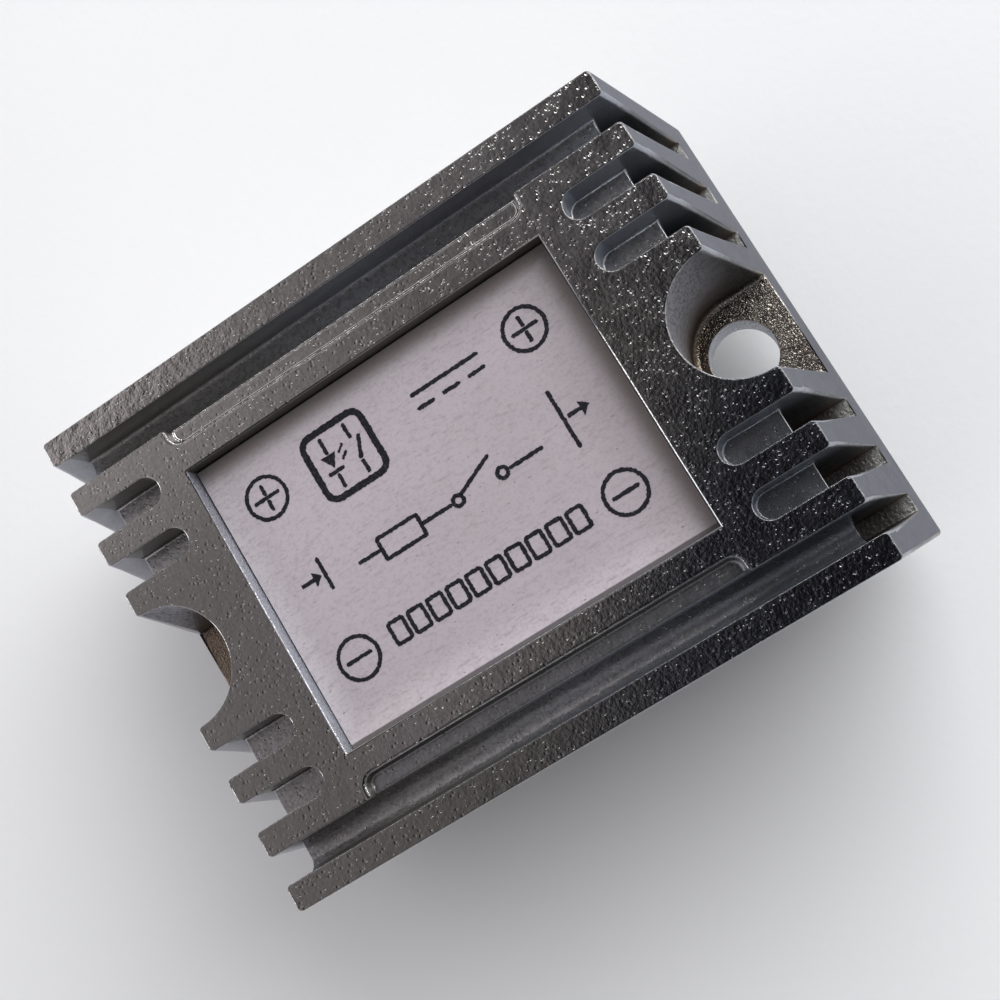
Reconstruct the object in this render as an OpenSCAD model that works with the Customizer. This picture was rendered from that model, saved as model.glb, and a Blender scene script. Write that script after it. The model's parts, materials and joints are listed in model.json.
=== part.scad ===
// Solid state relay in a finned die-cast case, with four terminal pins under it.
// The origin is the centre of the mounting face. +X points to the output end,
// +Y to the side of the positive terminals and +Z to the label.

/* [Case] */
// Length of the base, over its sloped ends
base_length = 52; // [51:0.5:56]
// Length of the top face
top_length = 44; // [43:0.5:46]
// Width of the case
case_width = 36; // [36:0.5:38]
// Height of the case
case_height = 22; // [22:0.5:26]
// Length of the solid block that the fins stand out of
block_length = 41.2; // [40.6:0.1:42]
// Thickness of the mounting flange under the fins
flange_thickness = 4; // [3.5:0.5:5]

/* [Mounting] */
// Distance between the two mounting holes
hole_pitch = 42; // [41.5:0.5:43]
// Diameter of each mounting hole
hole_diameter = 5; // [4:0.1:5]
// Distance from the centre to the axis of each screw notch
notch_offset = 21.65; // [21.4:0.05:22]
// Radius of each screw notch
notch_radius = 4.25; // [4:0.05:4.4]

/* [Fins] */
// Distance from one fin to the next
fin_pitch = 3.96; // [3.9:0.01:4]
// Thickness of a fin at the top
fin_thickness = 1.9; // [1.6:0.1:2.2]
// Narrowing of each gap towards the flange, on one side
fin_draft = 0.3; // [0.1:0.1:0.4]
// Depth of the grooves and slots in the top face
slot_depth = 3; // [2.5:0.5:3]
// Distance from the centre to the round end of each slot
slot_reach = 16.1; // [16:0.1:18]

/* [Label] */
// Length of the label recess
recess_length = 27.8; // [26:0.2:28]
// Width of the label recess
recess_width = 21.5; // [20:0.5:22]
// Depth from the top face to the label's surface
label_sink = 1.5; // [1:0.1:1.6]
// Thickness of the label plate
label_thickness = 0.3; // [0.2:0.1:0.5]
// Length of the shallow ledges beside the label
ledge_length = 27.7; // [26:0.1:28]
// Depth of the ledges
ledge_depth = 0.95; // [0.5:0.05:1.2]
// Distance from the centre to the inner edge of each ledge
ledge_start = 12.7; // [12.4:0.1:13]

/* [Terminals] */
// Distance between the input and output pins
pin_spacing_x = 20.32; // [20.32, 20.5]
// Distance between the positive and negative pins
pin_spacing_y = 12.7; // [12.7, 13]
// Diameter of each pin below the case
pin_diameter = 1.2; // [1:0.1:1.3]
// Length of each pin below the mounting face
pin_length = 5; // [3:0.5:8]

/* [Hidden] */
$fn = 48;

ends = [-1, 1];
past = 1; // how far a cutter runs past the surface that it opens

// Grooves and slots between the fins
fin_gap = fin_pitch - fin_thickness;
gap_floor = case_height - slot_depth;
groove_y = case_width / 2 - fin_pitch + fin_gap / 2;
slot_places = [groove_y - fin_pitch, groove_y - 2 * fin_pitch];
ledge_radius = 0.8;

// Cavity in the underside, and the rebate that the base cover sits in
cavity_length = 30;
cavity_width = 31;
cavity_roof = 16.5;
cavity_radius = 2;
rebate_margin = 1.1;
rebate_depth = 1.9;
post_radius = 3;
cover_gap = 0.1;
cover_sink = 0.3;
cover_thickness = rebate_depth - cover_sink;

// Label and its adhesive
adhesive_thickness = 0.1;
label_gap = 0.1;
recess_floor = case_height - label_sink - label_thickness - adhesive_thickness;

// Circuit board, which hangs under the posts of the cavity on the resin
board_bottom = 4.4;
board_thickness = 1.6;
board_top = board_bottom + board_thickness;
board_gap = 0.3;
joint_height = 0.9;
lead_end = board_bottom - joint_height;

// Terminal pins
pin_shank_radius = 0.8;
pin_collar_radius = 1.3;
pin_collar_height = 0.5;
pin_top = board_top + 0.9;
pin_tip_radius = 0.35;
pin_tip_height = 0.4;
bushing_radius = 1.6;
bushing_head_radius = 2.1;
bushing_head_height = 0.4;
pin_places = [for (x = ends, y = ends) [x * pin_spacing_x / 2, y * pin_spacing_y / 2]];

// Power transistor, flat against the roof with a wafer between
wafer_thickness = 0.6;
tab_top = cavity_roof - wafer_thickness;
tab_thickness = 1.3;
tab_start = -9.5;
tab_end = 5.7;
tab_width = 9.8;
moulding_start = -3.1;
moulding_end = 6.1;
moulding_width = 10.4;
moulding_thickness = 4.5;
leg_pitch = 2.54;
leg_x = 9.3;
leg_width = 0.9;
leg_thickness = 0.6;
leg_top = tab_top - 2.4;
leg_places = [for (i = [-1 : 1]) [leg_x, i * leg_pitch]];

// Screw and insulating bush that hold the transistor's tab
screw_x = tab_start + 2.7;
screw_radius = 1.45;
screw_hole_radius = 1.5;
screw_hole_depth = 2.8;
screw_head_radius = 2.75;
screw_head_height = 1.9;
screw_recess_radius = 1.4;
screw_recess_depth = 1;
bush_radius = 1.8;
bush_head_radius = 3;
bush_head_height = 0.7;
tab_hole_radius = 1.9;

// Optical isolator, a six-pin part that bridges input and output
isolator_place = [-2.5, 0];
isolator_size = [6.4, 8.6, 3.3];
isolator_standoff = 0.6;
isolator_row = 3.81;
isolator_lead = [0.25, 0.5];
isolator_places = [
    for (side = ends, i = [-1 : 1]) [isolator_place.x + side * isolator_row, i * leg_pitch]
];

// Parts that lie on the board: [x, y, turn, body length, body radius, half lead spacing, lead radius]
input_resistor_spec = [-12.9, 0, 90, 6.5, 1.2, 5.08, 0.3];
input_diode_spec = [-9.3, 0, 90, 5.2, 1.35, 5.08, 0.4];
gate_resistor_spec = [2.5, -9.2, 0, 6.5, 1.2, 5.08, 0.3];
gate_zener_spec = [1.6, 8.6, 0, 4, 0.95, 3.81, 0.25];
suppressor_spec = [12.6, 0, 90, 7.6, 1.8, 5.4, 0.4];
axial_specs = [
    input_resistor_spec, input_diode_spec, gate_resistor_spec, gate_zener_spec, suppressor_spec
];
axial_lift = 0.1;
axial_places = [
    for (s = axial_specs, side = ends)
        [s[0] + side * s[5] * cos(s[2]), s[1] + side * s[5] * sin(s[2]), s[6]]
];

// Parts that stand on the board: [x, y, half lead spacing, lead radius]
electrolytic_spec = [-7.5, 11.2, 1.27, 0.25];
electrolytic_radius = 2.5;
electrolytic_height = 7;
snubber_spec = [8, -12.2, 2.54, 0.3];
snubber_size = [7.2, 2.6, 6.5];
standing_specs = [electrolytic_spec, snubber_spec];
standing_lift = 0.1;
standing_places = [
    for (s = standing_specs, side = ends) [s[0] + side * s[2], s[1], s[3]]
];

// Driver transistor, a small moulded part on three straight legs
driver_place = [8.6, 11.6];
driver_radius = 2.3;
driver_flat = 1.3;
driver_height = 4.6;
driver_lift = 1.6;
driver_leg = 0.45;
driver_places = [for (i = [-1 : 1]) [driver_place.x + i * leg_pitch / 2, driver_place.y]];

// Soldered places: [x, y, joint radius, hole radius]
joint_radius = 0.95;
small_joint_radius = 0.6;
hole_clearance = 0.1;
solder_places = concat(
    [for (p = leg_places) [p.x, p.y, joint_radius, norm([leg_width, leg_thickness]) / 2 + hole_clearance]],
    [for (p = isolator_places) [p.x, p.y, joint_radius, norm(isolator_lead) / 2 + hole_clearance]],
    [for (p = axial_places) [p.x, p.y, joint_radius, p.z + hole_clearance]],
    [for (p = standing_places) [p.x, p.y, joint_radius, p.z + hole_clearance]],
    [for (p = driver_places) [p.x, p.y, small_joint_radius, norm([driver_leg, driver_leg]) / 2 + 0.05]]
);

// A block with upright round corners, centred in X and Y
module rounded_block(length, width, height, radius) {
    inner_x = length / 2 - radius;
    inner_y = width / 2 - radius;
    linear_extrude(height) union() {
        square([2 * inner_x, width], center = true);
        square([length, 2 * inner_y], center = true);
        for (x = ends, y = ends)
            translate([x * inner_x, y * inner_y]) circle(radius);
    }
}

// The case before anything is cut from it: a bar whose ends lean in towards the top
module case_envelope() {
    rotate([90, 0, 0])
        linear_extrude(case_width, center = true)
            polygon([
                [-base_length / 2, 0], [base_length / 2, 0],
                [top_length / 2, case_height], [-top_length / 2, case_height]
            ]);
}

// The space between two fins, seen along X: straight down to the slot floor, then drafted
module gap_profile(y) {
    wide = fin_gap / 2;
    narrow = wide - fin_draft;
    polygon([
        [y - wide, case_height + past], [y + wide, case_height + past], [y + wide, gap_floor],
        [y + narrow, flange_thickness], [y - narrow, flange_thickness], [y - wide, gap_floor]
    ]);
}

// Cuts a gap between two fins down to the flange, outside the block, at the +X end
module fin_gap_cut(y) {
    translate([block_length / 2, 0, 0])
        rotate([90, 0, 90])
            linear_extrude((base_length - block_length) / 2 + past)
                gap_profile(y);
}

// Cuts a slot with a round inner end into the top of the block, at the +X end
module slot_cut(y) {
    start = slot_reach + fin_gap / 2;
    translate([start, y, gap_floor])
        cylinder(h = slot_depth + past, r = fin_gap / 2);
    translate([start, y - fin_gap / 2, gap_floor])
        cube([block_length / 2 - start, fin_gap, slot_depth + past]);
}

// Cuts the screw notch and the mounting hole at the +X end
module mounting_cut() {
    height = case_height - flange_thickness + past;
    translate([notch_offset, 0, flange_thickness])
        cylinder(h = height, r = notch_radius, $fn = 96);
    translate([notch_offset, -notch_radius, flange_thickness])
        cube([base_length / 2, 2 * notch_radius, height]);
    translate([hole_pitch / 2, 0, -past])
        cylinder(h = flange_thickness + 2 * past, d = hole_diameter, $fn = 96);
}

// Cuts the full-length groove beside an outer fin
module groove_cut() {
    translate([-block_length / 2 - past, groove_y - fin_gap / 2, gap_floor])
        cube([block_length + 2 * past, fin_gap, slot_depth + past]);
}

// Cuts the shallow ledge between the label and a groove
module ledge_cut() {
    inner = ledge_length / 2 - ledge_radius;
    translate([0, 0, case_height - ledge_depth]) linear_extrude(ledge_depth + past) union() {
        translate([-inner, ledge_start]) square([2 * inner, fin_pitch / 2]);
        translate([-ledge_length / 2, ledge_start + ledge_radius])
            square([ledge_length, fin_pitch / 2 - ledge_radius]);
        for (x = ends)
            translate([x * inner, ledge_start + ledge_radius]) circle(ledge_radius);
    }
}

// Cuts the cavity for the electronics, leaving a post in each corner above the board
module cavity_cut() {
    difference() {
        translate([0, 0, -past])
            rounded_block(cavity_length, cavity_width, cavity_roof + past, cavity_radius);
        for (x = ends, y = ends)
            translate([x * cavity_length / 2, y * cavity_width / 2, board_top])
                cylinder(h = cavity_roof, r = post_radius);
    }
    translate([0, 0, -past])
        rounded_block(
            cavity_length + 2 * rebate_margin, cavity_width + 2 * rebate_margin,
            rebate_depth + past, cavity_radius + rebate_margin
        );
    translate([screw_x, 0, cavity_roof - past])
        cylinder(h = screw_hole_depth + past, r = screw_hole_radius);
}

module housing() {
    color([0.42, 0.40, 0.38]) difference() {
        case_envelope();
        for (turn = [0, 180]) rotate([0, 0, turn]) {
            for (side = ends) {
                fin_gap_cut(side * groove_y);
                for (y = slot_places) {
                    fin_gap_cut(side * y);
                    slot_cut(side * y);
                }
            }
            mounting_cut();
            groove_cut();
            ledge_cut();
        }
        translate([-recess_length / 2, -recess_width / 2, recess_floor])
            cube([recess_length, recess_width, case_height]);
        cavity_cut();
    }
}

module label_adhesive() {
    color([0.85, 0.85, 0.8])
        translate([-recess_length / 2 + label_gap, -recess_width / 2 + label_gap, recess_floor])
            cube([recess_length - 2 * label_gap, recess_width - 2 * label_gap, adhesive_thickness]);
}

module label_plate() {
    translate([-recess_length / 2 + label_gap, -recess_width / 2 + label_gap,
               recess_floor + adhesive_thickness])
        color([0.80, 0.77, 0.79])
            cube([recess_length - 2 * label_gap, recess_width - 2 * label_gap, label_thickness]);
}

module base_cover() {
    color([0.10, 0.11, 0.10]) difference() {
        translate([0, 0, cover_sink])
            rounded_block(
                cavity_length + 2 * (rebate_margin - cover_gap), cavity_width + 2 * (rebate_margin - cover_gap),
                cover_thickness, cavity_radius + rebate_margin - cover_gap
            );
        for (p = pin_places)
            translate([p.x, p.y, 0]) cylinder(h = rebate_depth + past, r = bushing_radius);
    }
}

module pin_bushings() {
    color([0.82, 0.80, 0.72])
        for (p = pin_places) translate([p.x, p.y, 0]) difference() {
            union() {
                translate([0, 0, cover_sink])
                    cylinder(h = cover_thickness, r = bushing_radius);
                translate([0, 0, rebate_depth])
                    cylinder(h = bushing_head_height, r = bushing_head_radius);
            }
            cylinder(h = rebate_depth + past, r = pin_shank_radius);
        }
}

// A terminal pin: pointed end, free length, thicker shank and the collar under the board
module terminal_pin(place) {
    translate([place.x, place.y, 0]) {
        translate([0, 0, -pin_length])
            cylinder(h = pin_tip_height, r1 = pin_tip_radius, r2 = pin_diameter / 2);
        translate([0, 0, pin_tip_height - pin_length])
            cylinder(h = pin_length - pin_tip_height + cover_sink, d = pin_diameter);
        translate([0, 0, cover_sink])
            cylinder(h = pin_top - cover_sink, r = pin_shank_radius);
        translate([0, 0, board_bottom - pin_collar_height])
            cylinder(h = pin_collar_height, r = pin_collar_radius);
    }
}

module all_pins() {
    for (p = pin_places) terminal_pin(p);
}

module input_pin_negative() {
    color([0.78, 0.75, 0.66]) terminal_pin(pin_places[0]);
}

module input_pin_positive() {
    color([0.78, 0.75, 0.66]) terminal_pin(pin_places[1]);
}

module output_pin_negative() {
    color([0.78, 0.75, 0.66]) terminal_pin(pin_places[2]);
}

module output_pin_positive() {
    color([0.78, 0.75, 0.66]) terminal_pin(pin_places[3]);
}

// The cone of solder round a lead, under the board
module joint_cone(place) {
    translate([place.x, place.y, lead_end])
        cylinder(h = joint_height, r1 = place[2] * 0.6, r2 = place[2]);
}

module solder_joints() {
    color([0.75, 0.76, 0.78]) difference() {
        union() {
            for (p = solder_places) joint_cone(p);
            for (p = pin_places)
                translate([p.x, p.y, board_top])
                    cylinder(h = joint_height, r1 = pin_collar_radius, r2 = pin_shank_radius);
        }
        leads_through_board();
        all_pins();
    }
}

module potting_compound() {
    color([0.16, 0.16, 0.17]) difference() {
        translate([0, 0, rebate_depth])
            rounded_block(cavity_length, cavity_width, board_bottom - rebate_depth, cavity_radius);
        for (p = solder_places) joint_cone(p);
        all_pins();
        for (p = pin_places)
            translate([p.x, p.y, 0])
                cylinder(h = rebate_depth + bushing_head_height, r = bushing_head_radius);
    }
}

module circuit_board() {
    color([0.15, 0.38, 0.20]) difference() {
        translate([0, 0, board_bottom])
            rounded_block(
                cavity_length - 2 * board_gap, cavity_width - 2 * board_gap,
                board_thickness, cavity_radius - board_gap
            );
        for (p = solder_places)
            translate([p.x, p.y, 0]) cylinder(h = cavity_roof, r = p[3]);
        for (p = pin_places)
            translate([p.x, p.y, 0]) cylinder(h = cavity_roof, r = pin_shank_radius);
    }
}

// Copper plate of the power transistor, with the hole for the bush
module transistor_tab() {
    color([0.70, 0.68, 0.66]) difference() {
        translate([tab_start, -tab_width / 2, tab_top - tab_thickness])
            cube([tab_end - tab_start, tab_width, tab_thickness]);
        translate([screw_x, 0, 0]) cylinder(h = case_height, r = tab_hole_radius);
    }
}

module transistor_body() {
    color([0.08, 0.08, 0.09]) difference() {
        translate([moulding_start, -moulding_width / 2, tab_top - moulding_thickness])
            cube([moulding_end - moulding_start, moulding_width, moulding_thickness]);
        translate([moulding_start - past, -tab_width / 2, tab_top - tab_thickness])
            cube([tab_end - moulding_start + past, tab_width, tab_thickness + past]);
    }
}

module transistor_legs() {
    color([0.75, 0.76, 0.78]) for (p = leg_places) {
        translate([moulding_end, p.y - leg_width / 2, leg_top - leg_thickness])
            cube([leg_x + leg_thickness / 2 - moulding_end, leg_width, leg_thickness]);
        translate([leg_x - leg_thickness / 2, p.y - leg_width / 2, lead_end])
            cube([leg_thickness, leg_width, leg_top - lead_end]);
    }
}

module insulator_wafer() {
    margin = 0.8;
    color([0.93, 0.92, 0.88]) difference() {
        translate([tab_start - margin, -moulding_width / 2 - margin, tab_top])
            cube([moulding_end - tab_start + 2 * margin, moulding_width + 2 * margin, wafer_thickness]);
        translate([screw_x, 0, 0]) cylinder(h = case_height, r = screw_hole_radius);
    }
}

module tab_bush() {
    color([0.90, 0.88, 0.80]) translate([screw_x, 0, 0]) difference() {
        union() {
            translate([0, 0, tab_top - tab_thickness]) cylinder(h = tab_thickness, r = bush_radius);
            translate([0, 0, tab_top - tab_thickness - bush_head_height])
                cylinder(h = bush_head_height, r = bush_head_radius);
        }
        cylinder(h = case_height, r = screw_hole_radius);
    }
}

module tab_screw() {
    under_head = tab_top - tab_thickness - bush_head_height;
    color([0.72, 0.72, 0.72]) translate([screw_x, 0, 0]) difference() {
        union() {
            translate([0, 0, under_head - screw_head_height])
                cylinder(h = screw_head_height, r = screw_head_radius);
            translate([0, 0, under_head])
                cylinder(h = cavity_roof + screw_hole_depth - cover_sink - under_head, r = screw_radius);
        }
        translate([0, 0, under_head - screw_head_height])
            cylinder(h = 2 * screw_recess_depth, r = screw_recess_radius, center = true, $fn = 6);
    }
}

module isolator_body() {
    base = board_top + isolator_standoff;
    color([0.92, 0.92, 0.90]) difference() {
        translate([isolator_place.x - isolator_size.x / 2, -isolator_size.y / 2, base])
            cube(isolator_size);
        translate([isolator_place.x, isolator_size.y / 2, base + isolator_size.z])
            cylinder(h = 1, r = 0.8, center = true);
    }
}

module isolator_leads() {
    shoulder = board_top + isolator_standoff + isolator_size.z / 2;
    reach = isolator_row + isolator_lead.x / 2 - isolator_size.x / 2;
    color([0.75, 0.76, 0.78]) for (p = isolator_places) {
        side = sign(p.x - isolator_place.x);
        translate([p.x - isolator_lead.x / 2, p.y - isolator_lead.y / 2, lead_end])
            cube([isolator_lead.x, isolator_lead.y, shoulder - lead_end]);
        translate([p.x + side * (isolator_lead.x - reach) / 2, p.y, shoulder - isolator_lead.x / 2])
            cube([reach, isolator_lead.y, isolator_lead.x], center = true);
    }
}

// Places its children at a part that lies on the board, with its axis along X
module lying(spec) {
    translate([spec[0], spec[1], board_top + axial_lift + spec[4]])
        rotate([0, 0, spec[2]]) rotate([0, 90, 0])
            children();
}

// A resistor body: a lacquered rod with thicker ends
module resistor_shape(spec) {
    cap = spec[3] * 0.22;
    lying(spec) {
        cylinder(h = spec[3], r = spec[4] * 0.86, center = true);
        for (side = ends)
            translate([0, 0, side * (spec[3] - cap) / 2])
                cylinder(h = cap, r = spec[4], center = true);
    }
}

// A moulded diode body with a chamfer at each end
module diode_shape(spec) {
    chamfer = 0.25;
    lying(spec) {
        cylinder(h = spec[3] - 2 * chamfer, r = spec[4], center = true);
        for (side = [0, 180])
            rotate([side, 0, 0]) translate([0, 0, spec[3] / 2 - chamfer])
                cylinder(h = chamfer, r1 = spec[4], r2 = spec[4] - chamfer);
    }
}

module input_resistor() {
    color([0.35, 0.55, 0.75]) resistor_shape(input_resistor_spec);
}

module gate_resistor() {
    color([0.35, 0.55, 0.75]) resistor_shape(gate_resistor_spec);
}

module input_diode() {
    color([0.10, 0.10, 0.11]) diode_shape(input_diode_spec);
}

module gate_zener() {
    color([0.75, 0.35, 0.20]) diode_shape(gate_zener_spec);
}

module output_suppressor() {
    color([0.10, 0.10, 0.11]) diode_shape(suppressor_spec);
}

// The two wires of a part that lies on the board, bent down through it
module axial_wires(spec) {
    half_body = spec[3] / 2;
    height = board_top + axial_lift + spec[4];
    for (turn = [0, 180]) translate([spec[0], spec[1], 0]) rotate([0, 0, spec[2] + turn]) {
        translate([half_body, 0, height])
            rotate([0, 90, 0]) cylinder(h = spec[5] - half_body, r = spec[6]);
        translate([spec[5], 0, height]) sphere(spec[6]);
        translate([spec[5], 0, lead_end]) cylinder(h = height - lead_end, r = spec[6]);
    }
}

module component_leads() {
    color([0.75, 0.76, 0.78]) {
        for (s = axial_specs) axial_wires(s);
        for (p = standing_places)
            translate([p.x, p.y, lead_end])
                cylinder(h = board_top + standing_lift - lead_end, r = p.z);
    }
}

module driver_transistor() {
    color([0.09, 0.09, 0.10])
        translate([driver_place.x, driver_place.y, board_top + driver_lift]) difference() {
            cylinder(h = driver_height, r = driver_radius);
            translate([-driver_radius, driver_flat, -past])
                cube([2 * driver_radius, driver_radius, driver_height + 2 * past]);
        }
}

module driver_legs() {
    color([0.75, 0.76, 0.78])
        for (p = driver_places)
            translate([p.x - driver_leg / 2, p.y - driver_leg / 2, lead_end])
                cube([driver_leg, driver_leg, board_top + driver_lift - lead_end]);
}

module input_capacitor() {
    groove = 0.25;
    color([0.12, 0.16, 0.30])
        translate([electrolytic_spec[0], electrolytic_spec[1], board_top + standing_lift])
            difference() {
                cylinder(h = electrolytic_height, r = electrolytic_radius);
                translate([0, 0, 1.4])
                    rotate_extrude() translate([electrolytic_radius, 0]) circle(groove);
            }
}

module snubber_capacitor() {
    color([0.75, 0.50, 0.15])
        translate([snubber_spec[0] - snubber_size.x / 2, snubber_spec[1] - snubber_size.y / 2,
                   board_top + standing_lift])
            cube(snubber_size);
}

// Every lead that goes through the board and is soldered under it
module leads_through_board() {
    transistor_legs();
    isolator_leads();
    component_leads();
    driver_legs();
}

housing();
label_plate();
label_adhesive();
base_cover();
input_pin_positive();
input_pin_negative();
output_pin_positive();
output_pin_negative();
pin_bushings();
potting_compound();
circuit_board();
solder_joints();
transistor_body();
transistor_tab();
transistor_legs();
insulator_wafer();
tab_screw();
tab_bush();
isolator_body();
isolator_leads();
input_resistor();
gate_resistor();
input_diode();
gate_zener();
output_suppressor();
driver_transistor();
driver_legs();
input_capacitor();
snubber_capacitor();
component_leads();
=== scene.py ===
import json
import math
import random

import bmesh
import bpy
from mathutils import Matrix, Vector


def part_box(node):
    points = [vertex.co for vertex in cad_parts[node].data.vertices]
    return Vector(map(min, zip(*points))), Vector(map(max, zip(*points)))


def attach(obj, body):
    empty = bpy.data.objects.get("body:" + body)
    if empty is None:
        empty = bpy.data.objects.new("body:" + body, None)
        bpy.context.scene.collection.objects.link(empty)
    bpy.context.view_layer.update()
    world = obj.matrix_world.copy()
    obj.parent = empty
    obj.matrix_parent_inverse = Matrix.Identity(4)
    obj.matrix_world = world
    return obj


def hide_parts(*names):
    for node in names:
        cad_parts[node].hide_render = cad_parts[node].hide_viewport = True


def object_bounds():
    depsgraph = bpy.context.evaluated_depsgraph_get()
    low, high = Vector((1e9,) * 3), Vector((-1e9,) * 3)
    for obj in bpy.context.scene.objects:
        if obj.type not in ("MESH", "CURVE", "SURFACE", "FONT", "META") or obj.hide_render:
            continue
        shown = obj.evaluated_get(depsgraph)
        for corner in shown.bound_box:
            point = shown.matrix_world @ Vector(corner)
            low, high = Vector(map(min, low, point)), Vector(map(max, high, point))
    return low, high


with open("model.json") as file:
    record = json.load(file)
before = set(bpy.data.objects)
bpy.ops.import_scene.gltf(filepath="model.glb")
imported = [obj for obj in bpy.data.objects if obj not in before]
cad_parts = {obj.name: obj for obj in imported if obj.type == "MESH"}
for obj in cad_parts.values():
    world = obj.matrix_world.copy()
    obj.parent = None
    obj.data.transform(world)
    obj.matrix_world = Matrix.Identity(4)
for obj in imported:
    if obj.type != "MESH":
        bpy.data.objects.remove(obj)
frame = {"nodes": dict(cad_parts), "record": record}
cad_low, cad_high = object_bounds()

MM = 0.001
NODES = frame["nodes"]
SOCKETS = {
    "coat": "Coat Weight",
    "edge_tint": "Specular Tint",
    "gloss": "Specular IOR Level",
}

# The case, read back from the frame
case_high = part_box("housing")[1]
plate_low, plate_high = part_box("label_plate")
CASE_TOP = case_high.z
BASE_HALF = case_high.x
CASE_HALF_WIDTH = case_high.y
END_LEAN = 4 * MM
FLANGE_TOP = 4 * MM
NOTCH_AXIS = 21.65 * MM
NOTCH_RADIUS = 4.25 * MM
HOLE_AXIS = 21 * MM
HOLE_RADIUS = 2.5 * MM
LEDGE_INNER, LEDGE_OUTER, LEDGE_LIP = 10.9 * MM, 13.4 * MM, 14.05 * MM
LEDGE_HALF = 14 * MM
LEDGE_TOP = CASE_TOP - 0.95 * MM
DRAFT_SIDE = 15.1 * MM
CAVITY_HALF_X, CAVITY_HALF_Y, CAVITY_TOP = 15.2 * MM, 15.7 * MM, 19.4 * MM
RECESS_HALF_X, RECESS_HALF_Y = 14 * MM, 10.9 * MM


# ---------------------------------------------------------------- materials

class Graph:
    """Shader nodes in the making. Lengths and heights are in millimetres."""

    def __init__(self, tree, place):
        self.tree = tree
        self.place = place

    def set(self, socket, value):
        """Gives an input socket a number, a colour or the output of another node."""
        if isinstance(value, bpy.types.NodeSocket):
            socket.id_data.links.new(value, socket)
        elif isinstance(value, tuple) and socket.type == "RGBA":
            socket.default_value = (*value, 1)
        else:
            socket.default_value = value

    def stretched(self, x, y, z):
        """The place in millimetres, stretched along each axis."""
        node = self.tree.nodes.new("ShaderNodeVectorMath")
        node.operation = "MULTIPLY"
        self.set(node.inputs[0], self.place)
        node.inputs[1].default_value = (x, y, z)
        return node.outputs["Vector"]

    def axes(self, vector=None):
        """The place, or another vector, along X, Y and Z."""
        node = self.tree.nodes.new("ShaderNodeSeparateXYZ")
        self.set(node.inputs["Vector"], vector or self.place)
        return [node.outputs[axis] for axis in "XYZ"]

    def noise(self, scale, detail=2.0, roughness=0.5, place=None):
        node = self.tree.nodes.new("ShaderNodeTexNoise")
        self.set(node.inputs["Vector"], place or self.place)
        node.inputs["Scale"].default_value = scale
        node.inputs["Detail"].default_value = detail
        node.inputs["Roughness"].default_value = roughness
        return node.outputs["Fac"]

    def cells(self, scale, place=None):
        """Distance to the nearest of the scattered points, and that point's random number."""
        node = self.tree.nodes.new("ShaderNodeTexVoronoi")
        self.set(node.inputs["Vector"], place or self.place)
        node.inputs["Scale"].default_value = scale
        split = self.tree.nodes.new("ShaderNodeSeparateColor")
        self.tree.links.new(node.outputs["Color"], split.inputs["Color"])
        return node.outputs["Distance"], split.outputs["Red"]

    def span(self, value, low, high, to_low=0.0, to_high=1.0):
        """Maps low..high smoothly to to_low..to_high."""
        node = self.tree.nodes.new("ShaderNodeMapRange")
        node.interpolation_type = "SMOOTHSTEP"
        self.set(node.inputs["Value"], value)
        for socket, number in zip(
            ("From Min", "From Max", "To Min", "To Max"), (low, high, to_low, to_high)
        ):
            node.inputs[socket].default_value = number
        return node.outputs["Result"]

    def math(self, operation, a, b=0.0):
        node = self.tree.nodes.new("ShaderNodeMath")
        node.operation = operation
        self.set(node.inputs[0], a)
        self.set(node.inputs[1], b)
        return node.outputs["Value"]

    def total(self, *terms):
        """The sum of (socket, factor) pairs."""
        result = None
        for value, factor in terms:
            scaled = self.math("MULTIPLY", value, factor)
            result = scaled if result is None else self.math("ADD", result, scaled)
        return result

    def mix(self, factor, a, b):
        node = self.tree.nodes.new("ShaderNodeMix")
        node.data_type = "RGBA"
        self.set(node.inputs["Factor"], factor)
        colours = [s for s in node.inputs if s.type == "RGBA"]
        self.set(colours[0], a)
        self.set(colours[1], b)
        return next(s for s in node.outputs if s.type == "RGBA")

    def pits(self, scale, size, share, place=None):
        """1 in round pits of the given size, in a share of the cells of a scatter."""
        distance, chance = self.cells(scale, place)
        round_pit = self.span(distance, 0.35 * size * scale, size * scale, 1.0, 0.0)
        chosen = self.span(chance, share - 0.02, share + 0.02, 1.0, 0.0)
        return self.math("MULTIPLY", round_pit, chosen)


class Surface(Graph):
    """A procedural material on one Principled shader."""

    def __init__(self, name, colour, roughness, metallic=0.0, **sockets):
        self.material = bpy.data.materials.new(name)
        self.material.use_nodes = True
        tree = self.material.node_tree
        tree.nodes.clear()
        self.shader = tree.nodes.new("ShaderNodeBsdfPrincipled")
        output = tree.nodes.new("ShaderNodeOutputMaterial")
        tree.links.new(self.shader.outputs["BSDF"], output.inputs["Surface"])
        self.shader.inputs["Base Color"].default_value = (*colour, 1)
        self.shader.inputs["Roughness"].default_value = roughness
        self.shader.inputs["Metallic"].default_value = metallic
        for socket, value in sockets.items():
            self.set(self.shader.inputs[SOCKETS[socket]], value)
        coordinates = tree.nodes.new("ShaderNodeTexCoord")
        scale = tree.nodes.new("ShaderNodeVectorMath")
        scale.operation = "SCALE"
        scale.inputs["Scale"].default_value = 1 / MM
        tree.links.new(coordinates.outputs["Object"], scale.inputs[0])
        super().__init__(tree, scale.outputs["Vector"])
        self.facing = coordinates.outputs["Normal"]

    def colour(self, value):
        self.set(self.shader.inputs["Base Color"], value)

    def rough(self, value):
        self.set(self.shader.inputs["Roughness"], value)

    def relief(self, height):
        """Bump from a height in millimetres."""
        bump = self.tree.nodes.new("ShaderNodeBump")
        bump.inputs["Distance"].default_value = MM
        bump.inputs["Strength"].default_value = 1.0
        self.set(bump.inputs["Height"], height)
        self.set(self.shader.inputs["Normal"], bump.outputs["Normal"])


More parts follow.
